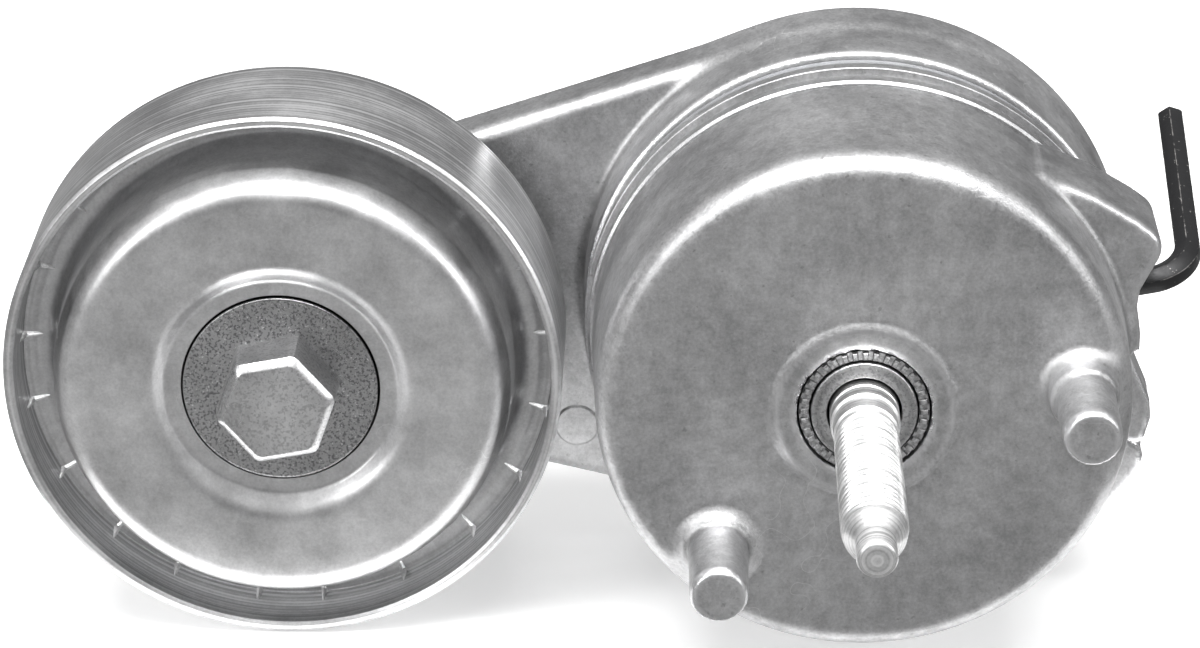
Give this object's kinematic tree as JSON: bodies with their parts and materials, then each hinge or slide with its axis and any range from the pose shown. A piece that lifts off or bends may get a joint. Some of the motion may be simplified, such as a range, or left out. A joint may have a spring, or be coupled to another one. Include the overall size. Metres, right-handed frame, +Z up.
{
  "type": "belt tensioner",
  "caption": "Sprung arm belt tensioner: round die-cast base with locating pins, swinging arm and smooth flat pulley on a ball bearing.",
  "frame": {"origin": "centre of the pivot bolt on the base's mounting face", "axes": "-Y out of the mounting face along the pivot, +X from the pulley towards the pivot, +Z up"},
  "size_m": [0.188, 0.1271, 0.0918],
  "materials": {
    "cast_aluminium": "satin die cast",
    "pulley_steel": "spun and brushed",
    "zinc_steel": "bright zinc",
    "bearing_steel": "ground",
    "spring_steel": "phosphated",
    "black_oxide": "black oxide",
    "seam_band": "filled nylon",
    "nylon": "matte",
    "seal_rubber": "matte"
  },
  "bodies": {
    "base": {"base_housing": "cast_aluminium", "pivot_sleeve": "zinc_steel", "knurled_collar": "zinc_steel", "retaining_plate": "zinc_steel", "seam_ring": "seam_band", "thrust_washer": "nylon", "spring_seat_front": "nylon", "damper_band": "nylon", "torsion_spring": "spring_steel"},
    "arm": {"tensioner_arm": "cast_aluminium", "hub_bushing": "nylon", "spring_seat_rear": "nylon", "front_dust_shield": "zinc_steel", "rear_dust_shield": "zinc_steel", "pulley_bolt": "zinc_steel", "bearing_inner_ring": "bearing_steel"},
    "pulley": {"pulley_shell": "pulley_steel", "bearing_outer_ring": "bearing_steel", "bearing_seal_front": "seal_rubber", "bearing_seal_rear": "seal_rubber"},
    "ball_cage": {"bearing_cage": "nylon", "bearing_ball_1": "bearing_steel", "bearing_ball_2": "bearing_steel", "bearing_ball_3": "bearing_steel", "bearing_ball_4": "bearing_steel", "bearing_ball_5": "bearing_steel", "bearing_ball_6": "bearing_steel", "bearing_ball_7": "bearing_steel", "bearing_ball_8": "bearing_steel"},
    "mounting_bolt": {"mounting_bolt": "zinc_steel"},
    "lock_pin": {"lock_pin": "black_oxide"}
  },
  "joints": [
    {"name": "arm_swing", "type": "hinge", "parent": "base", "child": "arm", "pos_m": [0, 0.05, 0], "axis": [0, 1, 0], "range_deg": [0, 45], "stiffness_Nm_per_rad": 1.5, "springref_deg": -34.38, "deforming": ["torsion_spring"]},
    {"name": "pulley_spin", "type": "hinge", "parent": "arm", "child": "pulley", "pos_m": [-0.09, 0.03, -0.004], "axis": [0, 1, 0], "continuous": true},
    {"name": "cage_spin", "type": "hinge", "parent": "arm", "child": "ball_cage", "pos_m": [-0.09, 0.0255, -0.004], "axis": [0, 1, 0], "continuous": true},
    {"name": "mounting_bolt_turn", "type": "hinge", "parent": "base", "child": "mounting_bolt", "pos_m": [0, 0, 0], "axis": [0, 1, 0], "continuous": true},
    {"name": "lock_pin_pull", "type": "slide", "parent": "base", "child": "lock_pin", "axis": [0.9833, 0, 0.1822], "range_m": [0, 0.025]}
  ],
  "couplings": [
    {"joint": "cage_spin", "follows": "pulley_spin", "ratio": 0.6158}
  ]
}
